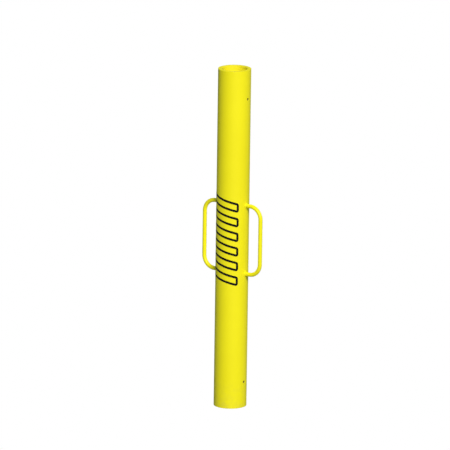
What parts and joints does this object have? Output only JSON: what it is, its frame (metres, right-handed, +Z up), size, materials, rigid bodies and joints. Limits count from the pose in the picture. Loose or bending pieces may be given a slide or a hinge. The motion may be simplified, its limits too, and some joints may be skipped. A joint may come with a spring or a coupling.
{
  "type": "retractable bollard",
  "caption": "Yellow tubular bollard with a carrying handle on each side; an inner post slides up out of its open top and locks with a sprung plunger.",
  "frame": {"origin": "centre of the base, on the surface that the bollard stands on", "axes": "+Z up along the post, +X through the lock holes and the right handle"},
  "size_m": [0.2226, 0.1021, 1.0668],
  "materials": {
    "yellow_paint": "satin",
    "handle_paint": "satin",
    "bush_plastic": "satin",
    "black_rubber": "matte",
    "zinc_steel": "satin",
    "galvanised_steel": "satin",
    "marking_film": "satin",
    "reflective_film": "gloss",
    "slide_plastic": "satin",
    "stainless_steel": "satin",
    "spring_steel": "satin"
  },
  "bodies": {
    "outer_post": {"outer_tube": "yellow_paint", "handle_right": "handle_paint", "handle_left": "handle_paint", "handle_weld_1": "handle_paint", "handle_weld_2": "handle_paint", "handle_weld_3": "handle_paint", "handle_weld_4": "handle_paint", "top_guide_bush": "bush_plastic", "wiper_ring": "black_rubber", "bush_screw_1": "zinc_steel", "bush_screw_2": "zinc_steel", "guide_rail": "galvanised_steel", "rail_rivet_1": "zinc_steel", "rail_rivet_2": "zinc_steel", "rail_rivet_3": "zinc_steel", "rail_rivet_4": "zinc_steel", "rail_rivet_5": "zinc_steel", "base_plug": "galvanised_steel", "base_screw_1": "zinc_steel", "base_screw_2": "zinc_steel", "landing_buffer": "black_rubber", "buffer_screw": "zinc_steel", "marking_bar_1": "marking_film", "marking_bar_2": "marking_film", "marking_bar_3": "marking_film", "marking_bar_4": "marking_film", "marking_bar_5": "marking_film", "marking_bar_6": "marking_film"},
    "inner_post": {"inner_tube": "yellow_paint", "upper_reflective_band": "reflective_film", "lower_reflective_band": "reflective_film", "foot_block": "slide_plastic", "foot_screw_1": "stainless_steel", "foot_screw_2": "stainless_steel", "foot_screw_3": "stainless_steel", "foot_screw_4": "stainless_steel", "plunger_stop_bush": "zinc_steel", "plunger_spring": "spring_steel", "top_cap": "galvanised_steel", "cap_screw_1": "stainless_steel", "cap_screw_2": "stainless_steel", "cap_screw_3": "stainless_steel", "cap_screw_4": "stainless_steel", "ring_clip": "stainless_steel", "clip_screw_1": "stainless_steel", "clip_screw_2": "stainless_steel"},
    "plunger": {"lock_plunger": "stainless_steel"},
    "ring": {"lift_ring": "stainless_steel"}
  },
  "joints": [
    {"name": "post_rise", "type": "slide", "parent": "outer_post", "child": "inner_post", "axis": [0, 0, 1], "range_m": [0, 0.8958]},
    {"name": "lock_travel", "type": "slide", "parent": "inner_post", "child": "plunger", "axis": [1, 0, 0], "range_m": [0, 0.0085], "stiffness_N_per_m": 600, "springref_m": 0.017, "deforming": ["plunger_spring"]},
    {"name": "ring_fold", "type": "hinge", "parent": "inner_post", "child": "ring", "pos_m": [-0.012, 0, 1.0361], "axis": [0, -1, 0], "range_deg": [0, 90]}
  ]
}
